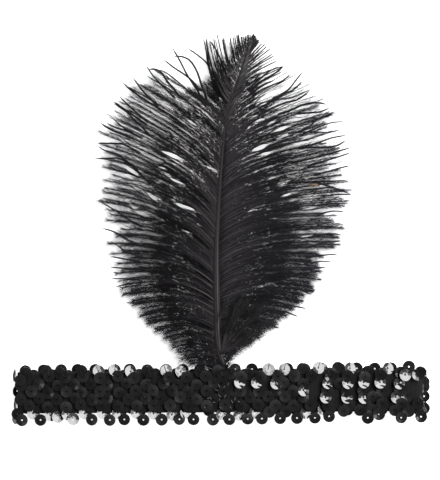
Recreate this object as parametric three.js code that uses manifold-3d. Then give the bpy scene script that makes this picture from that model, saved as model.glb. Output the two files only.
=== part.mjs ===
import * as THREE from 'three';
import { mergeVertices } from 'three/addons/utils/BufferGeometryUtils.js';
import Module from 'manifold-3d';

// A flapper headband: an elastic loop covered with cup sequins, lying folded flat, with an
// ostrich plume whose quill is tucked behind its front layer. Millimetres, +Z up: X runs along
// the flattened band and Y towards the plume's tip.

// Elastic loop
const loopLength = 430; // once round, relaxed, along the middle of the elastic
const elasticWidth = 24;
const elasticThickness = 1.2;
const layerGap = 5.5; // between the two layers of the flattened loop

// Cup sequins
const sequinDiameter = 6;
const sequinRelief = 1.3; // rim above the elastic
const sequinDish = 0.7; // depth of the cup
const sequinSeat = 0.3; // how deep a sequin's foot is sewn into the elastic
const sequinPitch = 9.15; // along a row
const sequinSides = 10;
const footSides = 5;
const footShare = 0.75; // foot of a sequin, as a share of its diameter

// Rows of sequins: an edge row stands over the elastic's edge by a share of the sequin's
// radius, and an inner row lies at a share of the elastic's half width. Shift is in pitches.
const edgeRows = [
  { side: 1, overhang: 0.1, shift: 0 },
  { side: -1, overhang: 0.5, shift: 0.5 },
];
const innerRows = [
  { place: 0.37, shift: 0.5 },
  { place: -0.3, shift: 0 },
];

// Plume
const plumeLength = 174; // from the elastic's upper edge to the tip
const plumeReach = 66; // from the band's middle to the longest barbs
const plumeRise = 2; // how far the shaft bows up from its seat in the band
const quillTuck = 14; // hidden behind the front layer
const quillWidth = 4;
const quillFlatness = 0.7; // thickness of the shaft, as a share of its width
const seatGap = 0.3; // between pieces that lie against each other
const spineWidth = 2.4; // strip of close barbs on each side of the shaft
const spineThickness = 1.6;
const spineTip = 0.35; // size of the strip at the plume's tip, as a share of its full size
const spineOverrun = 0.7; // strip past the first and last locks
const locksPerSide = 24;
const lockBreadth = 10; // of the longest locks
const lockThickness = 1.6;
const lockBow = 0.13; // how far a lock bends towards the tip, as a share of its length
const tuftRise = 4; // tips of the down above its root

// Locks come in two layers that take turns along the shaft. Arch is how far a lock stands up
// and reach how far it goes, both as shares of its length. Root is its place above the middle
// of the strip of barbs, as a share of its thickness, and tip its height over the other layer's
// tip, as a share of the shaft's height at the band.
const lockLayers = [
  { arch: -0.01, reach: 1, root: -0.3, tip: 0 },
  { arch: 0.05, reach: 0.94, root: 0.3, tip: 0.45 },
];

// The shaft, along the plume: sideways as a share of the plume's reach, rise as a share of its
// bow, and width as a share of the quill's.
const shaftRows = [
  { along: -0.10, across: 0.085, rise: 0.0, width: 0.55 },
  { along: 0.00, across: 0.030, rise: 0.0, width: 0.85 },
  { along: 0.06, across: -0.012, rise: 0.2, width: 0.95 },
  { along: 0.17, across: -0.028, rise: 0.7, width: 1.00 },
  { along: 0.35, across: -0.033, rise: 1.0, width: 0.78 },
  { along: 0.50, across: -0.015, rise: 1.0, width: 0.55 },
  { along: 0.65, across: 0.015, rise: 0.8, width: 0.40 },
  { along: 0.75, across: 0.045, rise: 0.5, width: 0.32 },
  { along: 0.84, across: 0.110, rise: 0.1, width: 0.24 },
  { along: 0.92, across: 0.185, rise: -0.4, width: 0.17 },
  { along: 1.00, across: 0.249, rise: -0.9, width: 0.10 },
];

// Locks of the vanes: where a lock leaves the shaft, and where its tip lies along the plume and
// across it, as shares of the plume's length and reach. Lift is the tip's height as a share of
// the shaft's height at the band.
const leftLocks = [
  { along: 0.024, tip: 0.040, across: -0.289, lift: 0.75 },
  { along: 0.072, tip: 0.080, across: -0.431, lift: 0.25 },
  { along: 0.120, tip: 0.138, across: -0.589, lift: 0 },
  { along: 0.215, tip: 0.278, across: -0.866, lift: 0 },
  { along: 0.323, tip: 0.461, across: -0.929, lift: 0 },
  { along: 0.437, tip: 0.632, across: -1.016, lift: 0 },
  { along: 0.509, tip: 0.739, across: -0.945, lift: 0 },
  { along: 0.581, tip: 0.805, across: -0.834, lift: 0 },
  { along: 0.635, tip: 0.871, across: -0.660, lift: 0 },
  { along: 0.689, tip: 0.934, across: -0.447, lift: 0 },
  { along: 0.748, tip: 0.964, across: -0.209, lift: 0.1 },
  { along: 0.817, tip: 0.994, across: -0.059, lift: 0.2 },
  { along: 0.889, tip: 0.988, across: 0.075, lift: 0.3 },
  { along: 0.958, tip: 0.994, across: 0.190, lift: 0.4 },
];
const rightLocks = [
  { along: 0.027, tip: 0.045, across: 0.150, lift: 0.75 },
  { along: 0.078, tip: 0.081, across: 0.328, lift: 0.25 },
  { along: 0.132, tip: 0.132, across: 0.502, lift: 0 },
  { along: 0.185, tip: 0.191, across: 0.668, lift: 0 },
  { along: 0.239, tip: 0.278, across: 0.771, lift: 0 },
  { along: 0.356, tip: 0.431, across: 0.945, lift: 0 },
  { along: 0.416, tip: 0.503, across: 1.008, lift: 0 },
  { along: 0.551, tip: 0.665, across: 1.024, lift: 0 },
  { along: 0.608, tip: 0.745, across: 0.968, lift: 0 },
  { along: 0.671, tip: 0.805, across: 0.826, lift: 0 },
  { along: 0.733, tip: 0.880, across: 0.652, lift: 0 },
  { along: 0.799, tip: 0.922, across: 0.520, lift: 0 },
  { along: 0.868, tip: 0.945, across: 0.447, lift: 0.1 },
  { along: 0.943, tip: 0.976, across: 0.344, lift: 0.3 },
];

// Down at the foot of the plume: tips of its locks, fanned out over the right vane.
const tuftRoot = { along: 0.050, across: 0.012 };
const tuftLocks = [
  { tip: 0.155, across: 0.091 },
  { tip: 0.218, across: 0.154 },
  { tip: 0.235, across: 0.240 },
  { tip: 0.200, across: 0.390 },
  { tip: 0.144, across: 0.510 },
  { tip: 0.090, across: 0.340 },
];

// Outline of one lock from root to tip: breadth and thickness as shares of the full ones.
const lockSections = [
  { at: 0, broad: 0.3, thick: 0.6 },
  { at: 0.25, broad: 0.85, thick: 1 },
  { at: 0.6, broad: 1, thick: 0.8 },
  { at: 0.85, broad: 0.6, thick: 0.5 },
  { at: 1, broad: 0.05, thick: 0.2 },
];

// Places that follow from the sizes
const innerRadius = layerGap / 2;
const outerRadius = innerRadius + elasticThickness;
const middleRadius = (innerRadius + outerRadius) / 2;
const straightLength = loopLength / 2 - Math.PI * middleRadius;
const loopHeight = sequinRelief + outerRadius; // middle of the flattened loop
const frontInside = loopHeight + innerRadius;
const plumeFoot = elasticWidth / 2;
const seatThickness = shaftWidth(0) * quillFlatness;
const shaftHeight = frontInside - seatGap - seatThickness / 2;
const lockTipThickness = lockThickness * lockSections[lockSections.length - 1].thick;

const wasm = await Module();
wasm.setup();

const up = new THREE.Vector3(0, 0, 1);

function solidOf(geometry) {
  const bare = geometry.clone();
  bare.deleteAttribute('normal');
  bare.deleteAttribute('uv');
  const merged = mergeVertices(bare);
  const corners = merged.index.array;
  const faces = [];
  for (let i = 0; i < corners.length; i += 3) {
    const [a, b, c] = corners.slice(i, i + 3);
    if (a !== b && b !== c && c !== a) faces.push(a, b, c);
  }
  return new wasm.Manifold(new wasm.Mesh({
    numProp: 3,
    vertProperties: new Float32Array(merged.attributes.position.array),
    triVerts: new Uint32Array(faces),
  }));
}

function fuse(solids) {
  let joined = solids[0];
  for (const solid of solids.slice(1)) joined = joined.add(solid);
  return joined;
}

function meshOf(name, solid, material) {
  const { vertProperties, triVerts } = solid.getMesh();
  const geometry = new THREE.BufferGeometry();
  geometry.setAttribute('position', new THREE.BufferAttribute(vertProperties, 3));
  geometry.setIndex(new THREE.BufferAttribute(triVerts, 1));
  geometry.computeVertexNormals();
  const mesh = new THREE.Mesh(geometry, material);
  mesh.name = name;
  return mesh;
}

// A closed skin over rings of points. Every ring runs anticlockwise seen from the far end.
function loft(rings) {
  const sides = rings[0].length;
  const faces = [];
  for (let i = 0; i + 1 < rings.length; i++) {
    for (let j = 0; j < sides; j++) {
      const a = i * sides + j;
      const b = i * sides + (j + 1) % sides;
      faces.push(a, b, b + sides, a, b + sides, a + sides);
    }
  }
  const last = (rings.length - 1) * sides;
  for (let j = 1; j + 1 < sides; j++) {
    faces.push(0, j + 1, j, last, last + j, last + j + 1);
  }
  const geometry = new THREE.BufferGeometry().setFromPoints(rings.flat());
  geometry.setIndex(faces);
  return geometry;
}

// One column of a table at any place along the plume, on a smooth line through its rows.
function sample(table, column, along) {
  const next = table.findIndex((row) => row.along > along);
  const i = THREE.MathUtils.clamp(next < 0 ? table.length - 1 : next, 1, table.length - 1);
  const low = table[i - 1];
  const high = table[i];
  const before = table[Math.max(i - 2, 0)];
  const after = table[Math.min(i + 1, table.length - 1)];
  const span = high.along - low.along;
  const t = (along - low.along) / span;
  const slopeIn = (high[column] - before[column]) / (high.along - before.along) * span;
  const slopeOut = (after[column] - low[column]) / (after.along - low.along) * span;
  return low[column] * (1 + 2 * t) * (1 - t) ** 2 + high[column] * t * t * (3 - 2 * t)
    + slopeIn * t * (1 - t) ** 2 - slopeOut * t * t * (1 - t);
}

function plumePoint(along, across, height) {
  return new THREE.Vector3(across * plumeReach, plumeFoot + along * plumeLength, height);
}

function shaftCentre(along) {
  const height = shaftHeight + sample(shaftRows, 'rise', along) * plumeRise;
  return plumePoint(along, sample(shaftRows, 'across', along), height);
}

function shaftWidth(along) {
  return quillWidth * sample(shaftRows, 'width', along);
}

// Sideways from the shaft, level and square to it, towards -X.
function shaftSide(along) {
  const step = 0.005; // short stretch of the shaft, as a share of the plume
  const run = shaftCentre(along + step).sub(shaftCentre(along - step));
  return new THREE.Vector3(-run.y, run.x, 0).normalize();
}

// Places along the shaft for the rings of a loft, closer together towards its foot.
function stations(first, last) {
  const steps = 18;
  return Array.from({ length: steps + 1 }, (_, i) => first + (last - first) * (i / steps) ** 1.4);
}

function elasticLoop() {
  const stadium = (path, radius) => path
    .moveTo(-straightLength / 2, -radius)
    .lineTo(straightLength / 2, -radius)
    .absarc(straightLength / 2, 0, radius, -Math.PI / 2, Math.PI / 2, false)
    .lineTo(-straightLength / 2, radius)
    .absarc(-straightLength / 2, 0, radius, Math.PI / 2, Math.PI * 3 / 2, false);
  const outline = stadium(new THREE.Shape(), outerRadius);
  outline.holes.push(stadium(new THREE.Path(), innerRadius));
  return new THREE.ExtrudeGeometry(outline, {
    depth: elasticWidth, bevelEnabled: false, curveSegments: 6,
  })
    .rotateX(Math.PI / 2)
    .translate(0, elasticWidth / 2, loopHeight);
}

// A shallow bowl on a narrower foot: each corner of the foot carries two of the rim.
function cupSequin() {
  const radius = sequinDiameter / 2;
  const perCorner = sequinSides / footSides;
  const angleOf = (side) => side / sequinSides * Math.PI * 2;
  const ring = (size, height, corner) => Array.from({ length: sequinSides }, (_, side) => {
    const angle = angleOf(corner(side));
    return new THREE.Vector3(size * Math.cos(angle), size * Math.sin(angle), height);
  });
  const footCorner = (side) => (Math.floor(side / perCorner) + 0.5) * perCorner - 0.5;
  return loft([
    ring(radius * footShare, -sequinSeat, footCorner),
    ring(radius, sequinRelief, (side) => side),
    ring(0, sequinRelief - sequinDish, () => 0),
  ]);
}

// Place on the outside of the elastic, at a length run once round the loop from the left end
// of the back layer, and the way it faces.
function onLoop(run) {
  const turn = Math.PI * middleRadius;
  const half = straightLength + turn;
  const back = run % loopLength < half;
  const local = (run % loopLength) % half;
  const facing = new THREE.Vector3(0, 0, -1);
  const place = new THREE.Vector3(Math.min(local, straightLength) - straightLength / 2, 0, 0);
  facing.applyAxisAngle(new THREE.Vector3(0, -1, 0), Math.max(local - straightLength, 0) / middleRadius);
  place.addScaledVector(facing, outerRadius);
  if (!back) {
    place.applyAxisAngle(new THREE.Vector3(0, 1, 0), Math.PI);
    facing.applyAxisAngle(new THREE.Vector3(0, 1, 0), Math.PI);
  }
  place.z += loopHeight;
  return { place, facing };
}

function sequinBand() {
  const perRow = Math.round(loopLength / sequinPitch);
  const rows = [
    ...edgeRows.map(({ side, overhang, shift }) => (
      { y: side * (elasticWidth / 2 + overhang * sequinDiameter / 2), shift }
    )),
    ...innerRows.map(({ place, shift }) => ({ y: place * elasticWidth / 2, shift })),
  ];
  const cup = cupSequin();
  const solids = [solidOf(elasticLoop())];
  for (const { y, shift } of rows) {
    for (let i = 0; i < perRow; i++) {
      const { place, facing } = onLoop((i + shift) * loopLength / perRow);
      const turned = new THREE.Quaternion().setFromUnitVectors(up, facing);
      if (facing.z < -0.999) turned.setFromAxisAngle(new THREE.Vector3(1, 0, 0), Math.PI);
      place.y = y;
      const matrix = new THREE.Matrix4().compose(place, turned, new THREE.Vector3(1, 1, 1));
      solids.push(solidOf(cup.clone().applyMatrix4(matrix)));
    }
  }
  return meshOf('sequin_band', fuse(solids), new THREE.MeshStandardMaterial({
    color: 0x1c1b1d, roughness: 0.22, metalness: 0.1,
  }));
}

function featherShaft() {
  const sides = 6;
  const rings = stations(-quillTuck / plumeLength, 1).map((along) => {
    const centre = shaftCentre(along);
    const side = shaftSide(along).multiplyScalar(shaftWidth(along) / 2);
    const top = up.clone().multiplyScalar(shaftWidth(along) * quillFlatness / 2);
    return Array.from({ length: sides }, (_, j) => {
      const angle = j / sides * Math.PI * 2;
      return centre.clone().addScaledVector(side, Math.cos(angle)).addScaledVector(top, Math.sin(angle));
    });
  });
  return meshOf('feather_shaft', solidOf(loft(rings)), new THREE.MeshStandardMaterial({
    color: 0x4a443f, roughness: 0.5, metalness: 0,
  }));
}

function spineTaper(along) {
  return Math.min(1, 1 - along + spineTip);
}

// A flat strip of barbs close against one side of the shaft. Side is 1 on the left.
function spine(side, first, last) {
  return loft(stations(first, last).map((along) => {
    const out = shaftSide(along).multiplyScalar(side);
    const taper = spineTaper(along);
    const inner = shaftCentre(along).addScaledVector(out, shaftWidth(along) / 2 + seatGap);
    const outer = inner.clone().addScaledVector(out, spineWidth * taper);
    const half = up.clone().multiplyScalar(spineThickness * taper / 2);
    const ring = [
      outer.clone().sub(half), outer.clone().add(half), inner.clone().add(half), inner.clone().sub(half),
    ];
    return side > 0 ? ring : ring.reverse();
  }));
}

// A pointed blade of barbs from root to tip, bowed towards the plume's tip.
function lock(root, tip, arch) {
  const run = tip.clone().sub(root);
  const length = run.length();
  const bow = new THREE.Vector3(-run.y, run.x, 0).normalize();
  if (bow.y < 0) bow.negate();
  const middle = root.clone().lerp(tip, 0.5)
    .addScaledVector(bow, 2 * lockBow * length)
    .addScaledVector(up, 2 * arch);
  const path = new THREE.QuadraticBezierCurve3(root, middle, tip);
  const breadth = lockBreadth * Math.sqrt(length / plumeReach);
  return loft(lockSections.map(({ at, broad, thick }) => {
    const centre = path.getPoint(at);
    const tangent = path.getTangent(at);
    const side = new THREE.Vector3(-tangent.y, tangent.x, 0).setLength(broad * breadth / 2);
    const top = up.clone().multiplyScalar(thick * lockThickness / 2);
    return [
      centre.clone().add(side), centre.clone().add(top), centre.clone().sub(side), centre.clone().sub(top),
    ];
  }));
}

// Barbs on one side of the shaft, in overlapping locks. The lower layer droops until its tips
// touch the ground.
function vane(name, side, table, ground) {
  const first = table[0].along;
  const last = table[table.length - 1].along;
  const overrun = spineOverrun / plumeLength;
  const solids = [solidOf(spine(side, first - overrun, last + overrun))];
  for (let i = 0; i < locksPerSide; i++) {
    const layer = lockLayers[i % lockLayers.length];
    const along = first + (last - first) * i / (locksPerSide - 1);
    const taper = spineTaper(along);
    const rootOffset = shaftWidth(along) / 2 + seatGap + spineWidth * taper / 2;
    const root = shaftCentre(along)
      .addScaledVector(shaftSide(along), side * rootOffset)
      .addScaledVector(up, layer.root * spineThickness * taper);
    const lift = Math.max(sample(table, 'lift', along), 0) + layer.tip;
    const tip = plumePoint(
      sample(table, 'tip', along),
      sample(table, 'across', along) * layer.reach,
      ground + lockTipThickness / 2 + lift * shaftHeight,
    );
    solids.push(solidOf(lock(root, tip, layer.arch * root.distanceTo(tip))));
  }
  return meshOf(name, fuse(solids), new THREE.MeshStandardMaterial({
    color: 0x2a282c, roughness: 0.9, metalness: 0,
  }));
}

function downTuft() {
  const seat = shaftCentre(tuftRoot.along);
  const shaftTop = seat.z + shaftWidth(tuftRoot.along) * quillFlatness / 2;
  const root = plumePoint(tuftRoot.along, tuftRoot.across, shaftTop + seatGap + lockThickness / 2);
  const solids = tuftLocks.map(({ tip, across }) => {
    const end = plumePoint(tip, across, root.z + tuftRise);
    return solidOf(lock(root, end, 0));
  });
  return meshOf('down_tuft', fuse(solids), new THREE.MeshStandardMaterial({
    color: 0x343136, roughness: 0.95, metalness: 0,
  }));
}

// The object stands with the middle of its footprint at the origin.
const headband = new THREE.Group();
const band = sequinBand();
const ground = new THREE.Box3().setFromObject(band).min.z; // the rims at the loop's two turns
headband.add(
  band,
  featherShaft(),
  vane('vane_left', 1, leftLocks, ground),
  vane('vane_right', -1, rightLocks, ground),
  downTuft(),
);
const reach = new THREE.Box3().setFromObject(headband);
const middle = reach.getCenter(new THREE.Vector3());
headband.position.set(-middle.x, -middle.y, -reach.min.z);
headband.updateMatrixWorld(true);

export default headband;
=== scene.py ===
# Flapper headband: an elastic loop sewn with cup sequins, lying flat, and an ostrich plume tucked
# behind its front layer. Metres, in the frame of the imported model.
import math

import bmesh
import bpy
import numpy as np
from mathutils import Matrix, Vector


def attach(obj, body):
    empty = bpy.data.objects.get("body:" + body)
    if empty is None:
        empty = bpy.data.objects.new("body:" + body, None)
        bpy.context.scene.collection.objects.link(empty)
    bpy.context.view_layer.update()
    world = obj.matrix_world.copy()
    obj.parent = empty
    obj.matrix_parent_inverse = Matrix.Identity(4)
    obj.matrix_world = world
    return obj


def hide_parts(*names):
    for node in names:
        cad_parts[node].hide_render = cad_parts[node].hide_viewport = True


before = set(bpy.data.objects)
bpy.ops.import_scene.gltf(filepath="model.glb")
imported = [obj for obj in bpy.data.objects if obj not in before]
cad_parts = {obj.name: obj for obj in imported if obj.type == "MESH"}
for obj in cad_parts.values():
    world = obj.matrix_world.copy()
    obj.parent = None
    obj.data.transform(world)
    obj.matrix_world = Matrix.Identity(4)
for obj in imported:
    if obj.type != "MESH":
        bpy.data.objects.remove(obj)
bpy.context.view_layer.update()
scene = bpy.context.scene
chance = np.random.default_rng(11)
up = np.array((0.0, 0.0, 1.0))
mm = 0.001


# Finishes

class Wire:  # a socket, so that shader maths is written as sums
    def __init__(self, finish, socket):
        self.finish = finish
        self.socket = socket

    def __add__(self, other):
        return self.finish.sum("ADD", self, other)

    def __radd__(self, other):
        return self.finish.sum("ADD", other, self)

    def __sub__(self, other):
        return self.finish.sum("SUBTRACT", self, other)

    def __rsub__(self, other):
        return self.finish.sum("SUBTRACT", other, self)

    def __mul__(self, other):
        return self.finish.sum("MULTIPLY", self, other)

    def __rmul__(self, other):
        return self.finish.sum("MULTIPLY", other, self)

    def __pow__(self, other):
        return self.finish.sum("POWER", self, other)


class Finish:  # a material, or the world, built node by node
    def __init__(self, name, block=None):
        self.block = block or bpy.data.materials.new(name)
        self.block.use_nodes = True
        self.tree = self.block.node_tree
        self.tree.nodes.clear()

    def add(self, kind, settings=(), sockets=(), out=0):
        node = self.tree.nodes.new("ShaderNode" + kind)
        for name, value in dict(settings).items():
            if name == "stops":
                for at, shade in value[2:]:
                    node.color_ramp.elements.new(at)
                for stop, (at, shade) in zip(node.color_ramp.elements, value):
                    stop.position = at
                    stop.color = shade
            else:
                setattr(node, name, value)
        for name, value in dict(sockets).items():
            if isinstance(value, Wire):
                self.tree.links.new(value.socket, node.inputs[name])
            else:
                node.inputs[name].default_value = value
        return Wire(self, node.outputs[out]) if len(node.outputs) else None

    def sum(self, operation, first, second):
        return self.add("Math", {"operation": operation}, {0: first, 1: second})

    def place(self, stretch=(1, 1, 1)):
        spot = self.add("TexCoord", out="Object")
        return self.add("Mapping", {}, {"Vector": spot, "Scale": stretch})

    def mark(self, name):  # a number kept on the mesh's points
        return self.add("Attribute", {"attribute_name": name}, out="Fac")

    def noise(self, size, detail=3, stretch=(1, 1, 1)):
        spot = self.place(stretch)
        return self.add("TexNoise", {}, {"Vector": spot, "Scale": 1 / size, "Detail": detail})

    def blend(self, share, first, second):
        return self.add("Mix", {"data_type": "RGBA"}, {0: share, 6: first, 7: second}, out=2)

    def surface(self, bump=None, depth=0.1 * mm, **sockets):
        sockets = {name.replace("_", " "): value for name, value in sockets.items()}
        if bump is not None:
            sockets["Normal"] = self.add("Bump", {}, {"Height": bump, "Distance": depth, "Strength": 1.0})
        shader = self.add("BsdfPrincipled", {}, sockets)
        self.add("OutputMaterial", {}, {"Surface": shader})
        return self.block


def colour(red, green, blue):
    return (red, green, blue, 1)


def fibreFinish(name, size, dark, light, roughness, stretch=(1, 1, 1)):  # thread and sheath
    fibre = Finish(name)
    twist = fibre.noise(size, 3, stretch)
    shade = fibre.blend(twist, colour(*dark), colour(*light))
    return fibre.surface(twist, 0.05 * mm, Base_Color=shade, Roughness=roughness, Specular_IOR_Level=0.3)


# Meshes

def smooth(low, high, value):
    share = np.clip((value - low) / (high - low), 0, 1)
    return share * share * (3 - 2 * share)


def unit(vectors):
    return vectors / np.maximum(np.linalg.norm(vectors, axis=-1, keepdims=True), 1e-12)


def sample(table, column, along):  # one column of a table, on a smooth line through its rows
    places = np.array(table["along"], float)
    values = np.array(table[column], float)
    along = np.asarray(along, float)
    last = len(places) - 1
    i = np.clip(np.searchsorted(places, along, side="right"), 1, last)
    before = np.maximum(i - 2, 0)
    after = np.minimum(i + 1, last)
    span = places[i] - places[i - 1]
    t = (along - places[i - 1]) / span
    slopeIn = (values[i] - values[before]) / (places[i] - places[before]) * span
    slopeOut = (values[after] - values[i - 1]) / (places[after] - places[i - 1]) * span
    ends = values[i - 1] * (1 + 2 * t) * (1 - t) ** 2 + values[i] * t * t * (3 - 2 * t)
    return ends + slopeIn * t * (1 - t) ** 2 - slopeOut * t * t * (1 - t)


def pairs(numbers):
    return np.reshape(numbers, (-1, 2))


def meshFrom(name, shape):
    bmesh.ops.recalc_face_normals(shape, faces=shape.faces)
    mesh = bpy.data.meshes.new(name)
    shape.to_mesh(mesh)
    print(name, sum(not edge.is_manifold for edge in shape.edges), "open edges")
    return mesh


def meshOf(name, points, quads, triangles, marks, rounded=True):
    mesh = bpy.data.meshes.new(name)
    corners = np.concatenate([quads.ravel(), triangles.ravel()]).astype(np.int32)
    quadStarts = np.arange(len(quads)) * 4
    triangleStarts = len(quads) * 4 + np.arange(len(triangles)) * 3
    starts = np.concatenate([quadStarts, triangleStarts]).astype(np.int32)
    mesh.vertices.add(len(points))
    mesh.vertices.foreach_set("co", points.astype(np.float32).ravel())
    mesh.loops.add(len(corners))
    mesh.loops.foreach_set("vertex_index", corners)
    mesh.polygons.add(len(starts))
    mesh.polygons.foreach_set("loop_start", starts)
    mesh.polygons.foreach_set("use_smooth", np.full(len(starts), rounded))
    mesh.update(calc_edges=True)
    for mark, values in marks.items():
        mesh.attributes.new(mark, "FLOAT", "POINT").data.foreach_set("value", values.astype(np.float32))
    return mesh


def strands(paths, widths, sides=3):  # closed tubes along paths, each drawn to a point at its end
    count, steps = paths.shape[:2]
    tangent = unit(np.gradient(paths, axis=1))
    across = unit(np.cross(tangent, up) + (1e-9, 0, 0))
    over = np.cross(across, tangent)
    turn = np.arange(sides) / sides * 2 * np.pi
    ring = across[:, :, None] * np.cos(turn)[:, None] + over[:, :, None] * np.sin(turn)[:, None]
    rings = paths[:, :-1, None] + ring[:, :-1] * widths[:, :-1, None, None] / 2
    each = (steps - 1) * sides + 1
    points = np.concatenate([rings.reshape(count, -1, 3), paths[:, -1:]], axis=1)
    base = np.arange(count)[:, None] * each
    corner = np.arange(sides)
    following = (corner + 1) % sides
    low = np.arange(steps - 2)[:, None] * sides
    quad = np.stack([low + corner, low + sides + corner, low + sides + following, low + following], -1)
    last = (steps - 2) * sides
    tip = np.stack([last + corner, np.full(sides, each - 1), last + following], -1)
    butt = np.stack([np.zeros(sides - 2, int), corner[1:-1], corner[2:]], -1)
    quads = (base[:, :, None] + quad.reshape(-1, 4)).reshape(-1, 4)
    triangles = (base[:, :, None] + np.concatenate([tip, butt])).reshape(-1, 3)
    return points.reshape(-1, 3), quads, triangles


def finishPiece(mesh, material, slot, *nodes):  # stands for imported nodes
    piece = bpy.data.objects.new(mesh.name, mesh)
    scene.collection.objects.link(piece)
    mesh.materials.append(material)
    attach(piece, "root")
    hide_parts(*nodes)
    print(mesh.name, sum(len(face.vertices) - 2 for face in mesh.polygons), "triangles")
    return piece


def strandPiece(name, paths, widths, sides, material, slot, node, **marks):
    points, quads, triangles = strands(paths, widths, sides)
    marks = {mark: np.full(len(points), value) for mark, value in marks.items()}
    finishPiece(meshOf(name, points, quads, triangles, marks), material, slot, node)


# Camera, floor and lights

studio = {
    "lens": 100,
    "middle": (-0.26 * mm, -5.8 * mm),
    "distance": 0.6956,
    "height": 7 * mm,  # the level at which the object's size in the picture holds
    "floor": 6,
    "floorDrop": 0.2 * mm,
    "floorGlow": 0.85,  # a sheet of lit acrylic, so that it stays white round the feather
    "zenith": 0.04,
    "horizon": 1.1,
    "skyCurve": 1.5,
}
lamps = {  # azimuth from +X towards +Y, and zenith from straight up, in degrees
    "keySoftbox": {"azimuth": 28, "zenith": 46, "distance": 1.3, "size": 0.95, "radiance": 8},
    "leftSoftbox": {"azimuth": 170, "zenith": 48, "distance": 1.3, "size": 0.4, "radiance": 0.7},
}


def setUpStudio():
    camera = bpy.data.objects.new("camera", bpy.data.cameras.new("camera"))
    camera.data.lens = studio["lens"]
    camera.location = (*studio["middle"], studio["distance"] + studio["height"])
    scene.collection.objects.link(camera)
    scene.camera = camera
    scene.view_settings.view_transform = "Standard"

    floorShape = bmesh.new()
    bmesh.ops.create_grid(floorShape, x_segments=2, y_segments=2, size=studio["floor"] / 2)
    bmesh.ops.translate(floorShape, verts=floorShape.verts, vec=(0, 0, -studio["floorDrop"]))
    floorMesh = bpy.data.meshes.new("floor")
    floorShape.to_mesh(floorMesh)
    floor = bpy.data.objects.new("floor", floorMesh)
    scene.collection.objects.link(floor)
    floorMesh.materials.append(Finish("paleFloor").surface(
        Base_Color=colour(0.92, 0.92, 0.92), Roughness=0.9, Specular_IOR_Level=0.0,
        Emission_Color=colour(1, 1, 1), Emission_Strength=studio["floorGlow"],
    ))

    for name, lamp in lamps.items():
        azimuth = math.radians(lamp["azimuth"])
        zenith = math.radians(lamp["zenith"])
        level = math.sin(zenith)
        away = Vector((level * math.cos(azimuth), level * math.sin(azimuth), math.cos(zenith)))
        light = bpy.data.objects.new(name, bpy.data.lights.new(name, "AREA"))
        light.data.size = lamp["size"]
        light.data.energy = lamp["radiance"] * math.pi * lamp["size"] ** 2
        light.location = away * lamp["distance"]
        light.rotation_euler = away.to_track_quat("Z", "Y").to_euler()
        light.visible_camera = False
        scene.collection.objects.link(light)

    scene.world = bpy.data.worlds.new("studioAir")
    sky = Finish("studioAir", scene.world)
    direction = sky.add("SeparateXYZ", {}, {0: sky.add("TexCoord", out="Generated")}, out="Z")
    height = sky.add("Math", {"operation": "MAXIMUM"}, {0: direction, 1: 0.0})
    glow = studio["zenith"] + (studio["horizon"] - studio["zenith"]) * (1 - height) ** studio["skyCurve"]
    air = sky.add("Background", {}, {"Color": colour(1, 1, 1), "Strength": glow})
    sky.add("OutputWorld", {}, {"Surface": air})


setUpStudio()
print("studio ready")


# Band: the elastic

band = {
    "middle": -84.85 * mm,  # y of the elastic's middle line
    "height": 6.011 * mm,  # of the loop's middle
    "length": 0.430,
    "width": 24 * mm,
    "shown": 21.0 * mm,  # width between its edge stitches, which the edge sequins hide
    "thickness": 1.2 * mm,
    "inside": 2.75 * mm,  # radius of the turns inside the elastic
    "skew": 0.006,  # the right end lies a little higher than the left
    "ribs": 14,
    "ribDepth": 0.16 * mm,
    "courses": 900 / (2 * math.pi),  # scale of the knit's wave
    "straightSteps": 24,
    "turnSteps": 8,
    "weld": 0.01 * mm,
}
turnRadius = band["inside"] + band["thickness"] / 2
outerRadius = band["inside"] + band["thickness"]
turnLength = math.pi * turnRadius
straightLength = band["length"] / 2 - turnLength


def elasticFinish():
    knit = Finish("ribbedElastic")
    loops = knit.noise(0.5 * mm, 4, (0.35, 1, 1))
    courses = knit.add("TexWave", {"bands_direction": "X"}, {
        "Vector": knit.place(), "Scale": band["courses"], "Distortion": 1.5, "Detail": 2,
    })
    shade = knit.blend(loops, colour(0.004, 0.0038, 0.0042), colour(0.014, 0.013, 0.0145))
    return knit.surface(
        loops * 0.6 + courses * 0.4, 0.12 * mm,
        Base_Color=shade, Roughness=0.85, Specular_IOR_Level=0.25,
    )


def elasticPiece():
    ribs = band["ribs"]
    half = band["shown"] / 2
    shape = bmesh.new()
    profile = []
    for face in (1, -1):
        for step in range(ribs * 2 + 1):
            inset = band["ribDepth"] if step % 2 == 0 else 0
            y = face * (half * (1 - step / ribs))
            z = face * (band["thickness"] / 2 - inset)
            profile.append(shape.verts.new((-straightLength / 2, y, z)))
    edges = [shape.edges.new((a, b)) for a, b in zip(profile, profile[1:] + profile[:1])]
    bmesh.ops.translate(shape, verts=profile, vec=(0, 0, -turnRadius))

    def advance(edges, step):
        made = bmesh.ops.extrude_edge_only(shape, edges=edges)["geom"]
        bmesh.ops.translate(shape, verts=[v for v in made if isinstance(v, bmesh.types.BMVert)], vec=step)
        return [e for e in made if isinstance(e, bmesh.types.BMEdge)]

    for side in (1, -1):
        for _ in range(band["straightSteps"]):
            edges = advance(edges, (side * straightLength / band["straightSteps"], 0, 0))
        turned = bmesh.ops.spin(
            shape, geom=edges, cent=(side * straightLength / 2, 0, 0), axis=(0, -1, 0),
            angle=math.pi, steps=band["turnSteps"],
        )["geom_last"]
        edges = [e for e in turned if isinstance(e, bmesh.types.BMEdge)]
    bmesh.ops.remove_doubles(shape, verts=shape.verts, dist=band["weld"])
    for vert in shape.verts:
        vert.co += Vector((0, band["middle"] + band["skew"] * vert.co.x, band["height"]))
    for face in shape.faces:
        face.smooth = True
    elastic = finishPiece(meshFrom("bandElastic", shape), elasticFinish(), "elastic", "sequin_band")


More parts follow.
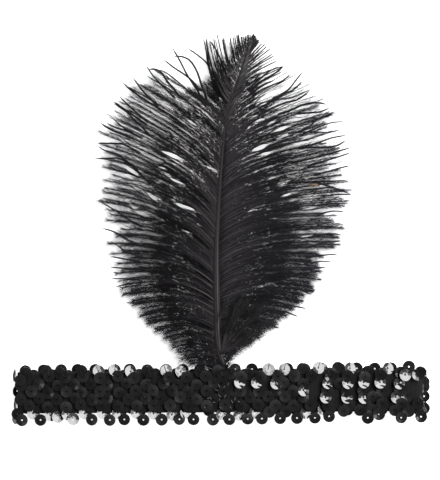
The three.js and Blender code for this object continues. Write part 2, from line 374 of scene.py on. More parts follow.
elasticPiece()


# Band: the sequins and their thread

sequins = {
    "size": 6.3 * mm,
    "hole": 0.9 * mm,
    "flat": 1.8 * mm,  # level middle of a cup
    "dish": 0.42 * mm,
    "film": 0.14 * mm,
    "facets": 8,
    "stand": 0.55 * mm,  # hole above the elastic
    "perRow": 47,
    "rows": {  # height on the band in mm from its middle line, and shift along it in pitches
        "a": (11.0, 0), "b": (8.2, 0.5), "c": (4.5, 0), "d": (0.8, 0.5),
        "e": (-2.9, 0), "f": (-6.5, 0.5), "g": (-10.2, 0), "h": (-13.7, 0.5),
    },
    "over": {"a": -0.1, "b": 0.75, "c": 0.15, "d": 0.3, "e": 0.1, "f": 0.45, "g": 0.0, "h": 0.4},  # mm
    "backRise": {"h": 3.2, "g": 1.5},  # mm, rows of the back layer that lie further in than the front's
    "stray": (1.1 * mm, 0.65 * mm),
    "edgeStray": (0.4 * mm, 0.25 * mm),
    "heightStray": 0.3,  # mm
    "lean": 6,  # degrees either way
    "unlit": 2,  # lean towards the key light past which an ordinary one is tipped the other way
    "bright": 19,
    "pale": 25,
    "litStray": 2,
    "paleRaise": {"a": (-1, 5)},  # more lean, where only the upper halves show
    "sunk": 0.7 * mm,  # how much lower the pale ones sit
    "turnFrom": 0.3,  # how far sideways a sequin faces to count as on a turn
    "turnRise": 2.4,  # how far the sequins round the ends face up or down
    "turnLean": 0.3,
    "turnSunk": 0.5 * mm,
    "onTurn": "bdf",  # rows with a sequin on the middle of the right turn
    "scale": (0.96, 1.03),
    "clearance": 0.05 * mm,  # over the floor
}
darkPlaces = {  # front sequins that are out of step: mm from the middle, and mm over their row, in turn
    "a": (-101.2, -0.4, -90.3, 0.7, -83.5, -0.7, -72.1, 0.6, -37.2, -0.1, -10.4, -0.2, -1.3, 0.4, 5.5, -1.3,
          14.2, -1.6, 42.5, 1.1, 60.9, 1.5, 76.5, -0.6, 93.5, -1.1, 97.8, 1.7, 103.7, -1.2),
    "b": (-103.6, -1.3),
    "d": (106.1, 1.2),
    "e": (-103.6, -0.2),
    "g": (-105.8, -0.7, 63.9, 0.2, 72.3, 0.6, 90.5, 0.4),
    "h": (-102.7, 0, -93.3, 0, -66.7, 0, -57.4, -0.2, -49.9, 0, -40, -0.2, -30.5, -0.2, -21.3, -0.1,
          -14, -0.2, -3.9, -0.3, 4.6, -0.3, 14.1, -0.1, 21.5, 0, 30.9, 0.1, 39.7, 0.2, 49, 0.2, 56.3, 1.0,
          76.4, 0.1, 82.2, 2.0, 93.7, 0.1, 104, 0.4),
}
brightPlaces = {  # front sequins that lean towards the key light
    "b": (95.7, 0.3),
    "c": (9.9, 0.6, 18.6, 0.5, 28.7, 0, 55.6, 0, 66.0, 0, 74.3, 0.2, 82.7, 0.2, 92.6, -0.3),
    "d": (43.0, 0),
    "e": (54.5, 0, 65.5, -0.2, 74.3, -0.3, 91.0, -0.2),
}
palePlaces = {  # front sequins that catch the light all over, under their neighbours
    "a": (-63.4, 0.3, -55, 0.8, -46.7, 0, -28.3, 0.1, -20.8, -0.2, 24.8, 0.7, 33.1, 0.7, 50.8, 1.3,
          67.3, 0.9, 87, 0.8),
    "g": (-97.4, -0.3, -88.4, -1.3, -79.6, -0.7, -70.7, -0.5, -61.3, -0.3, -53.5, -0.3, -43.8, -0.3,
          -34.7, -0.8, -25.3, -1.4, -18.2, -0.5, 0.3, -1.5, 9.4, -1.6, 17.6, -0.7, 44, -1, 53.2, 0.9),
    "h": (-84.5, 1.4, -76.5, 0.2),
}


def cupShape():
    cup = bmesh.new()
    radii = [sequins[name] / 2 for name in ("hole", "flat", "size")]
    heights = (0, 0, sequins["dish"], sequins["dish"] - sequins["film"])
    corners = [cup.verts.new((x, 0, z)) for x, z in zip(radii + radii[2:], heights)]
    edges = [cup.edges.new((a, b)) for a, b in zip(corners, corners[1:] + corners[:1])]
    bmesh.ops.spin(
        cup, geom=edges, cent=(0, 0, 0), axis=(0, 0, 1), angle=2 * math.pi, steps=sequins["facets"] * 2,
        use_merge=True,
    )
    bmesh.ops.remove_doubles(cup, verts=cup.verts, dist=band["weld"])
    bmesh.ops.recalc_face_normals(cup, faces=cup.faces)
    cup.verts.index_update()
    points = np.array([v.co for v in cup.verts])
    quads = np.array([[v.index for v in face.verts] for face in cup.faces])
    facet = 2 * math.pi / sequins["facets"]
    off = np.cos((np.arctan2(points[:, 1], points[:, 0]) + facet / 2) % facet - facet / 2)
    radius = np.hypot(points[:, 0], points[:, 1])
    inner = abs(radius - radii[1]) < band["weld"]
    rim = radius > (radii[1] + radii[2]) / 2
    points[inner, :2] /= off[inner, None]
    points[rim, 2] -= sequins["dish"] / (radii[2] - radii[1]) * (radius * (1 - off))[rim]
    print("sequin", len(quads), "faces", sum(not edge.is_manifold for edge in cup.edges), "open edges")
    return points, quads


def onLoop(run):  # places and facings on the elastic's outside, from the left end of the back layer
    half = band["length"] / 2
    local = run % half
    back = run % band["length"] < half
    angle = np.maximum(local - straightLength, 0) / turnRadius
    facing = np.stack([np.sin(angle), 0 * angle, -np.cos(angle)], -1)
    place = facing * outerRadius
    place[:, 0] += np.minimum(local, straightLength) - straightLength / 2
    turned = np.array((-1.0, 1.0, -1.0))
    place = np.where(back[:, None], place, place * turned)
    facing = np.where(back[:, None], facing, facing * turned)
    return place, facing


def sequinSeats():
    half = band["length"] / 2
    pitch = band["length"] / sequins["perRow"]
    key = math.radians(lamps["keySoftbox"]["azimuth"])
    towardsKey = np.array((math.cos(key), math.sin(key)))
    places, facings, leans, rises = [], [], [], []
    for row, (y, shift) in sequins["rows"].items():
        run = (np.arange(sequins["perRow"]) + shift) * pitch
        count = len(run)
        back = run < half
        strayAlong, strayAcross = sequins["edgeStray" if row in "ah" else "stray"]
        run = run + chance.uniform(-1, 1, count) * strayAlong
        lean = chance.normal(0, sequins["lean"], (count, 2))
        lit = lean @ towardsKey
        lean = lean - np.where(lit > sequins["unlit"], 2 * lit, 0)[:, None] * towardsKey
        across = y * mm + np.where(back, sequins["backRise"].get(row, 0), 0) * mm
        across = across + chance.uniform(-1, 1, count) * strayAcross
        height = sequins["over"][row] * mm + chance.uniform(0, sequins["heightStray"], count) * mm
        free = np.ones(count, bool)
        for kind, charted in (("bright", brightPlaces), ("pale", palePlaces), ("dark", darkPlaces)):
            for x, rise in pairs(charted.get(row, ())):
                target = half + straightLength / 2 - x * mm
                i = np.argmin(np.where(free, abs(run - target), 1))
                free[i] = False
                run[i] = target
                across[i] = (y + rise) * mm
                if kind != "dark":
                    stray = sequins["litStray"]
                    lean[i] = towardsKey * sequins[kind] + chance.uniform(-stray, stray, 2)
                if kind == "pale":
                    height[i] -= sequins["sunk"]
                    lean[i] += sequins["paleRaise"].get(row, (0, 0))
        if row in sequins["onTurn"]:
            run[sequins["perRow"] // 2 - 1] = half - turnLength / 2
        place, facing = onLoop(run)
        place[:, 1] = across
        turned = abs(facing[:, 0]) > sequins["turnFrom"]
        facing[:, 2] = np.where(turned, facing[:, 2] * sequins["turnRise"], facing[:, 2])
        facing[:, 0] = np.where(turned & (facing[:, 2] > sequins["turnFrom"]), 0, facing[:, 0])
        height = np.where(turned, height - sequins["turnSunk"], height)
        lean = np.where(turned[:, None], sequins["turnLean"] * lean, lean)
        places.append(place)
        facings.append(unit(facing))
        leans.append(np.radians(lean))
        rises.append(height)
    return (np.concatenate(part) for part in (places, facings, leans, rises))


def sequinFinish():
    film = Finish("glossyBlackFilm")
    tone = film.mark("tone")
    grain = film.noise(0.35 * mm, 2)
    dust = film.noise(0.12 * mm, 4)
    shade = film.blend(tone, colour(0.009, 0.0082, 0.009), colour(0.017, 0.0155, 0.017))
    return film.surface(
        grain * 0.7 + dust * 0.3, 0.002 * mm,
        Base_Color=shade, Roughness=0.10 + 0.12 * tone + 0.06 * dust, Specular_IOR_Level=0.95,
        Coat_Weight=0.3, Coat_Roughness=0.06,
    )


threads = {  # from the hole of each sequin to its rim: radii out and mm up, in turn
    "swing": 0.7,  # radians either way
    "path": (0.1, -0.6, 0.1, 0.22, 0.35, 0.25, 0.8, 0.45, 1.02, 0.5, 1.08, 0.1, 1.0, -0.7),
    "width": 0.24 * mm,
}
stitches = {  # the specks of thread that hold the quill
    "count": 20,
    "x": (-8.5 * mm, 10 * mm),
    "y": (-13 * mm, 4.5 * mm),
    "length": (0.7 * mm, 2.2 * mm),
    "path": (-1, -1.3, -0.8, -0.3, 0, 0.1, 0.8, -0.3, 1, -1.3),  # half lengths along, mm up
    "width": 0.28 * mm,
    "top": 1.75 * mm,
}
looseEnds = (  # of thread, by the right end, mm
    ((103.6, -2.4, 0.2), (104.6, -4.6, 1.4), (105.4, -6.9, 1.3), (106.3, -9.6, 0.3), (107.2, -12.2, -1.2)),
    ((104.0, -4.0, 0.2), (105.2, -6.2, 1.3), (105.9, -8.2, 1.0), (106.9, -10.0, 0.0), (107.6, -11.2, -1.0)),
    ((103.2, -5.4, 0.2), (104.6, -7.0, 1.3), (105.3, -8.8, 1.1), (106.0, -10.6, 0.2), (106.4, -12.4, -1.0)),
)


def sequinPieces():
    cup, quads = cupShape()
    places, facings, leans, rises = sequinSeats()
    count = len(places)
    sideways = unit(np.cross((0.0, 1.0, 0.0), facings))  # along the band, +X on the front
    forward = np.cross(facings, sideways)
    facing = unit(facings + sideways * np.tan(leans[:, :1]) + forward * np.tan(leans[:, 1:]))
    sideways = unit(np.cross(forward, facing))
    forward = np.cross(facing, sideways)
    level, straight = sideways, forward
    turn = chance.uniform(0, 2 * np.pi, (count, 1))
    sideways, forward = (
        sideways * np.cos(turn) + forward * np.sin(turn), forward * np.cos(turn) - sideways * np.sin(turn),
    )
    seat = places + facings * (sequins["stand"] + rises)[:, None]
    scale = chance.uniform(*sequins["scale"], (count, 1, 1))
    across, along, over = (cup[:, axis, None] for axis in range(3))
    points = seat[:, None] + scale * (
        across * sideways[:, None] + along * forward[:, None] + over * facing[:, None]
    )

    def onBand(points):
        points = points + (0, band["middle"], band["height"])
        points[..., 1] += band["skew"] * points[..., 0]
        points[..., 2] = np.maximum(points[..., 2], sequins["clearance"])
        return points

    tone = np.repeat(chance.uniform(0, 1, count) ** 2, len(cup))
    points = onBand(points).reshape(-1, 3)
    faces = (np.arange(count)[:, None, None] * len(cup) + quads).reshape(-1, 4)
    mesh = meshOf("bandSequins", points, faces, np.zeros((0, 3), int), {"tone": tone}, False)
    finishPiece(mesh, sequinFinish(), "sequins", "sequin_band")

    spread = chance.uniform(-threads["swing"], threads["swing"], (count, 1))
    over = (straight * np.cos(spread) + level * np.sin(spread)) * sequins["size"] * 0.5
    knots = pairs(threads["path"])
    paths = np.stack([seat + over * out + facing * rise * mm for out, rise in knots], axis=1)
    widths = np.full(paths.shape[:2], threads["width"])
    finish = fibreFinish("sewingThread", 0.2 * mm, (0.010, 0.010, 0.011), (0.05, 0.048, 0.05), 0.8)
    strandPiece("bandThread", onBand(paths), widths, 4, finish, "elastic", "sequin_band")

    count = stitches["count"]
    x, y = (chance.uniform(*stitches[side], count) for side in ("x", "y"))
    turn = chance.uniform(0, np.pi, count)
    reach = np.stack([np.cos(turn), np.sin(turn), 0 * turn], -1)
    reach = reach * chance.uniform(*stitches["length"], (count, 1)) / 2
    centre = np.stack([x, y, 0 * x + outerRadius + stitches["top"]], -1)
    bowed = pairs(stitches["path"])
    paths = centre[:, None] + reach[:, None] * bowed[:, :1] + up * bowed[:, 1:] * mm
    paths = np.concatenate([paths, (np.array(looseEnds) + (0, 0, outerRadius / mm)) * mm])
    widths = np.full(paths.shape[:2], stitches["width"])
    finish = fibreFinish("quillStitches", 0.3 * mm, (0.03, 0.029, 0.03), (0.32, 0.31, 0.32), 0.7)
    strandPiece("bandStitches", onBand(paths), widths, 4, finish, "elastic", "sequin_band")


sequinPieces()


# Plume: its shape, in shares of its length and reach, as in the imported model

plume = {
    "foot": -72.85 * mm,
    "length": 174 * mm,
    "reach": 66 * mm,
    "seat": 7.27 * mm,  # height of the shaft in the band
    "rise": 2 * mm,
    "quillWidth": 4 * mm,
    "flatness": 0.7,
    "tuck": 14 * mm,
}
shaftLine = {
    "along": (-0.10, 0.00, 0.06, 0.17, 0.35, 0.50, 0.65, 0.75, 0.84, 0.92, 1.00),
    "across": (0.085, 0.030, -0.012, -0.028, -0.033, -0.015, 0.015, 0.045, 0.110, 0.185, 0.249),
    "rise": (0.0, 0.0, 0.2, 0.7, 1.0, 1.0, 0.8, 0.5, 0.1, -0.4, -0.9),
    "width": (0.55, 0.85, 0.95, 1.00, 0.78, 0.55, 0.40, 0.32, 0.24, 0.17, 0.10),
}


def plumePoint(along, across, height):
    along, across, height = np.broadcast_arrays(along, across, height)
    return np.stack([across * plume["reach"], plume["foot"] + along * plume["length"], height], -1)


def shaftCentre(along):
    height = plume["seat"] + sample(shaftLine, "rise", along) * plume["rise"]
    return plumePoint(along, sample(shaftLine, "across", along), height)


def shaftWidth(along):
    return plume["quillWidth"] * sample(shaftLine, "width", along)


def shaftSide(along):  # level and square to the shaft, towards -X
    step = 0.005
    run = shaftCentre(along + step) - shaftCentre(along - step)
    return unit(np.stack([-run[..., 1], run[..., 0], 0 * run[..., 2]], -1))


# Plume: the shaft

shaft = {
    "rings": 48,
    "crowd": 1.15,  # how far the rings gather at the hidden end
    "sides": 24,
    "groove": 0.16,
    "grooveHalf": 0.35,  # radians
    "grooveFrom": 0.02,
    "end": (0.35, 40),  # width of the hidden end, and how fast it grows
    "paintedHighlight": (0.0, 0.0, 0.368, 0.02, 0.386, 1, 0.402, 1, 0.42, 0.05, 1.0, 0.0),  # painted highlight along the groove's lip on the key light's side: half turns, strength
    "paintedHighlightFade": (-28.0, 0.4),  # the painted highlight's fade towards the tip, by the metre, and its strength at the middle of the part
    "paintedHighlightLeast": 0.12,
}


def shaftFinish():
    horn = Finish("quillHorn")
    streaks = horn.noise(0.6 * mm, 4, (6, 0.25, 6))
    blotch = horn.noise(6 * mm, 3)
    stops = [(at, colour(share, share, share)) for at, share in pairs(shaft["paintedHighlight"])]
    # painted highlight: a pale line blended into the base colour along the groove's lip on the key light's
    # side, fading towards the tip
    paintedHighlight = horn.add("ValToRGB", {"stops": stops}, {"Fac": horn.mark("round")})
    shade = horn.blend(streaks, colour(0.013, 0.011, 0.012), colour(0.036, 0.032, 0.033))
    y = horn.add("SeparateXYZ", {}, {0: horn.add("TexCoord", out="Object")}, out="Y")
    slope, level = shaft["paintedHighlightFade"]
    lower = horn.add("Math", {"operation": "MULTIPLY_ADD", "use_clamp": True}, {0: y, 1: slope, 2: level})
    least = shaft["paintedHighlightLeast"]
    shade = horn.blend(paintedHighlight * (least + (1 - least) * lower), shade, colour(0.19, 0.175, 0.18))
    shade = horn.blend(blotch * 0.4, shade, colour(0.014, 0.012, 0.013))
    return horn.surface(
        streaks, 0.04 * mm, Base_Color=shade, Roughness=0.6 + 0.2 * streaks, Specular_IOR_Level=0.2,
    )


def shaftPiece():
    shape = bmesh.new()
    rounds = []
    rings = []
    first = -plume["tuck"] / plume["length"]
    end, growth = shaft["end"]
    alongs = first + (1 - first) * np.linspace(0, 1, shaft["rings"]) ** shaft["crowd"]
    for along in alongs:
        centre = Vector(shaftCentre(along))
        side = Vector(shaftSide(along))
        half = float(shaftWidth(along)) / 2 * min(1, end + (along - first) * growth)
        depth = shaft["groove"] if along > shaft["grooveFrom"] else 0
        made = bmesh.ops.create_circle(shape, segments=shaft["sides"], radius=1)["verts"]
        for vert in made:
            angle = math.atan2(vert.co.y, vert.co.x)
            groove = depth * float(smooth(shaft["grooveHalf"], 0.0, abs(angle - math.pi / 2)))
            rise = math.sin(angle) * (1 - groove) * plume["flatness"]
            vert.co = centre - side * math.cos(angle) * half + Vector((0, 0, rise * half))
            rounds.append(angle / math.pi)
        rings.append(list({edge for vert in made for edge in vert.link_edges}))
    for low, high in zip(rings, rings[1:]):
        bmesh.ops.bridge_loops(shape, edges=low + high)
    bmesh.ops.holes_fill(shape, edges=[e for e in shape.edges if e.is_boundary], sides=shaft["sides"])
    for face in shape.faces:
        face.smooth = len(face.verts) == 4
    mesh = meshFrom("plumeShaft", shape)
    marks = mesh.attributes.new("round", "FLOAT", "POINT")
    marks.data.foreach_set("value", np.array(rounds, np.float32))
    finishPiece(mesh, shaftFinish(), "quill", "feather_shaft")


shaftPiece()


# Plume: barbs, with their barbules

vanes = {
    "left": {
        "side": 1,
        "shape": {
            "along": (-0.020, 0.002, 0.024, 0.072, 0.120, 0.215, 0.323, 0.437, 0.509, 0.581, 0.635, 0.670,
                      0.700, 0.720, 0.742),
            "tip": (0.008, 0.018, 0.038, 0.080, 0.138, 0.278, 0.461, 0.632, 0.739, 0.802, 0.853, 0.871,
                    0.889, 0.907, 0.901),
            "across": (-0.090, -0.250, -0.310, -0.425, -0.580, -0.810, -0.900, -0.965, -0.905, -0.815,
                       -0.755, -0.700, -0.636, -0.581, -0.526),
            "lift": (0.9, 0.85, 0.75, 0.25, 0, 0, 0, 0, 0, 0, 0, 0, 0, 0, 0),
        },
        "habit": {  # barbs to a clump, how far they gather, and the barbules' cover over each zone
            "along": (0.0, 0.2, 0.4, 0.5, 0.6, 0.7, 0.8),
            "clump": (3, 3, 3.5, 4, 4, 4.5, 4.5),
            "gather": (0.12, 0.14, 0.36, 0.55, 0.75, 0.75, 0.75),
            "start": (0.6, 0.55, 0.45, 0.4, 0.35, 0.3, 0.2),
            "near": (7, 7, 6.5, 4.8, 3.4, 2.6, 2.3),
            "outer": (3.9, 3.9, 2.3, 1.9, 1.75, 1.4, 1.2),
            "curl": (-0.03, -0.03, 0.0, 0.0, 0.0, 0.0, 0.0),
            "bend": (0.38, 0.38, 0.36, 0.32, 0.26, 0.2, 0.2),
            "spread": (1.9, 1.8, 1.5, 1.2, 1.0, 1.0, 1.0),
            "bow": (0.10, 0.10, 0.09, 0.075, 0.055, 0.045, 0.045),
        },
    },
    "leftTuft": {
        "side": 1,
        "shape": {
            "along": (0.735, 0.745, 0.755, 0.768, 0.780, 0.805),
            "tip": (0.836, 0.840, 0.855, 0.870, 0.868, 0.875),
            "across": (-0.290, -0.210, -0.160, -0.130, -0.105, -0.070),
            "lift": (0, 0, 0, 0, 0, 0),
        },
        "habit": {
            "along": (0.7, 0.9), "clump": (4, 4), "gather": (0.4, 0.4), "start": (0.3, 0.3), "near": (5, 5),
            "outer": (3, 4), "curl": (0, 0), "bend": (0.3, 0.3), "spread": (1.3, 1.3), "bow": (0.07, 0.07),
        },
    },
    "leftCrest": {
        "side": 1,
        "thick": 1.5,
        "shape": {
            "along": (0.792, 0.840, 0.889, 0.958, 0.988),
            "tip": (0.992, 0.996, 0.998, 1.000, 1.004),
            "across": (-0.134, -0.043, 0.075, 0.190, 0.235),
            "lift": (0.1, 0.2, 0.3, 0.4, 0.5),
        },
        "habit": {
            "along": (0.8, 0.84, 0.88, 0.92, 1.0), "clump": (3, 2, 2, 2, 2), "start": (0.1,) * 5,
            "gather": (0.8, 0.8, 0.7, 0.6, 0.5), "near": (5.5, 4.2, 3.2, 2.8, 2.5), "curl": (0,) * 5,
            "outer": (0.9, 0.3, 0.1, 0.1, 0.1), "bend": (0.3,) * 5, "spread": (1.3,) * 5,
            "bow": (0.07, 0.06, 0.06, 0.05, 0.03),
        },
    },
    "right": {
        "side": -1,
        "shape": {
            "along": (-0.020, 0.004, 0.027, 0.078, 0.132, 0.185, 0.239, 0.356, 0.416, 0.551, 0.608, 0.671,
                      0.733, 0.799, 0.850),
            "tip": (0.000, 0.018, 0.045, 0.081, 0.132, 0.191, 0.278, 0.431, 0.503, 0.665, 0.745, 0.805,
                    0.880, 0.900, 0.905),
            "across": (0.050, 0.065, 0.100, 0.250, 0.450, 0.640, 0.800, 0.985, 1.015, 1.000, 0.940, 0.810,
                       0.645, 0.530, 0.470),
            "lift": (0.9, 0.85, 0.75, 0.25, 0, 0, 0, 0, 0, 0, 0, 0, 0, 0, 0.1),
        },
        "habit": {
            "along": (0.0, 0.2, 0.4, 0.5, 0.6, 0.7, 0.8, 0.86),
            "clump": (3, 3, 3.5, 4, 4.5, 4.5, 4, 3),
            "gather": (0.15, 0.16, 0.36, 0.6, 0.8, 0.85, 0.85, 0.8),
            "start": (0.6, 0.55, 0.5, 0.4, 0.35, 0.3, 0.25, 0.2),
            "near": (8, 8, 7.5, 6.5, 5.5, 4.0, 2.7, 1.4),
            "outer": (5.0, 5.4, 2.5, 1.9, 2.1, 0.4, 0.1, 0.1),
            "curl": (-0.03, 0.0, 0.02, 0.04, 0.06, 0.06, 0.05, 0.03),
            "bend": (0.38, 0.36, 0.33, 0.3, 0.3, 0.3, 0.3, 0.3),
            "spread": (1.9, 1.7, 1.3, 1.1, 1.0, 1.0, 1.2, 1.4),
            "bow": (0.10, 0.09, 0.08, 0.075, 0.075, 0.075, 0.07, 0.06),
        },
    },
    "rightCrest": {
        "side": -1,
        "thick": 1.8,
        "shape": {
            "along": (0.855, 0.901, 0.937, 0.985),
            "tip": (0.925, 0.970, 0.988, 1.004),
            "across": (0.447, 0.360, 0.296, 0.262),
            "lift": (0.1, 0.1, 0.3, 0.5),
        },
        "habit": {
            "along": (0.8, 1.0), "clump": (1, 1), "gather": (0, 0), "start": (0, 0), "near": (2, 1),
            "outer": (0, 0), "curl": (0, 0), "bend": (0.4, 0.4), "spread": (1, 1), "bow": (0.02, 0.0),
        },
    },
}
barbs = {
    "pitch": 1.07 * mm,
    "pitchStray": 0.25,
    "steps": 18,
    "rootWidth": 0.36 * mm,
    "tipWidth": 0.28 * mm,
    "leaderWidth": 1.55,
    "rootSpot": 0.40,  # of the shaft's width from its middle
    "rootRise": (0.1, 0.35),
    "bowStray": 0.004,
    "curlStray": (0.6, 1.4),
    "clumpSpread": 1.3,  # barbs
    "clumpStray": 0.02,  # of a barb's length
    "stray": 0.007,
    "lead": 0.07,  # how much longer the first barb of a clump is
    "lag": 0.13,
    "loose": (0.3, 0.2),  # share of barbs that stay out of their clump, and how far they still gather
    "gatherStray": (0.5, 1.2),
    "gatherMost": 0.97,
    "gatherRun": 0.5,
    "keptHeight": 0.5,
    "arch": (-0.01, 0.06),
    "tipRise": 2.2,  # mm
    "ground": 0.7 * mm,
    "lowest": 0.3 * mm,
}
barbules = {  # the two zones share their barbs, in shares of a barb's length
    "near": {"share": (-0.03, 0.48), "length": 6.0 * mm, "width": 0.29 * mm, "crowd": 1.2},
    "outer": {"share": (0.44, 0.94), "length": 7.5 * mm, "width": 0.13 * mm, "crowd": 1.35},
    "gathered": (0.0, 0.5),
    "angle": (14, 8),  # degrees from the barb, and its spread
    "tilt": 30,
    "lengthStray": (0.5, 1.2),
    "widthStray": (0.7, 1.3),
    "hides": 0.36,  # of the surface round it
    "widest": 2.5,  # pitches that one barb fills
    "uneven": 0.08,  # how far the two zones reach into each other, from barb to barb
    "under": 0.3,  # nearer the shaft they point downwards
    "hang": 0.45 * mm,  # how far those near the shaft lie under the barbs
    "lowest": 0.1 * mm,
}
parting = {"open": 0.75, "push": 1.5, "fade": 0.8}  # in widths of a slit, and a share of its length
partings = (  # slits the barbs leave: from, to and width, mm
    (-32.6, 41.5, -17.0, 34.5, 1.4), (-53.8, 35.1, -41.0, 26.5, 1.4), (-52.7, 29.8, -44.2, 25.0, 1.3),
    (-46.8, 39.9, -44.2, 36.1, 1.2), (-46.3, 23.4, -41.5, 19.7, 1.0), (-39.4, 20.3, -31.4, 12.8, 1.3),
    (-27.1, 14.4, -10.2, 8.6, 1.0), (-47.9, 13.9, -43.1, 9.6, 1.6), (-41.0, 8.8, -36.3, 6.2, 1.6),
    (-22.9, 0.0, -11.7, -3.2, 0.5), (-54.5, 3.3, -46.7, -1.1, 1.0), (-20.1, 58.9, -10.7, 52.6, 0.8),
    (-48.8, 62.0, -45.6, 57.8, 1.4), (-31.6, 67.2, -22.2, 60.4, 0.7), (-10.7, 33.3, 0.8, 29.7, 0.6),
    (-36.8, 34.4, -25.3, 29.7, 0.7), (-29.0, 27.6, -15.9, 21.8, 0.7), (14.3, 39.9, 27.7, 44.6, 1.6),
    (17.5, 37.2, 28.7, 40.9, 1.0), (15.9, 55.3, 24.5, 57.9, 1.0), (22.3, 54.2, 31.5, 56.4, 1.0),
    (24.5, 50.0, 38.9, 54.2, 1.1), (28.7, 47.3, 40.0, 50.5, 1.1), (18.6, 67.0, 29.8, 71.8, 1.3),
    (25.6, 62.7, 36.3, 67.5, 1.2), (36.3, 62.2, 48.0, 64.4, 1.2), (37.3, 58.5, 48.0, 60.1, 1.1),
    (38.4, 30.8, 43.8, 32.9, 1.0), (41.0, 45.7, 49.6, 50.5, 1.2), (52.3, 45.2, 61.3, 48.2, 1.4),
    (29.3, 16.0, 40.5, 19.7, 1.0), (32.0, 13.9, 40.0, 15.5, 0.8), (12.2, 8.6, 21.3, 10.7, 0.7),
    (24.5, 4.3, 31.5, 6.4, 0.8), (11.7, 51.3, 18.0, 53.9, 0.9), (21.7, 25.0, 31.0, 27.6, 0.7),
    (41.5, 9.8, 53.0, 11.9, 0.8), (39.4, -4.8, 50.9, -2.7, 0.8),
)
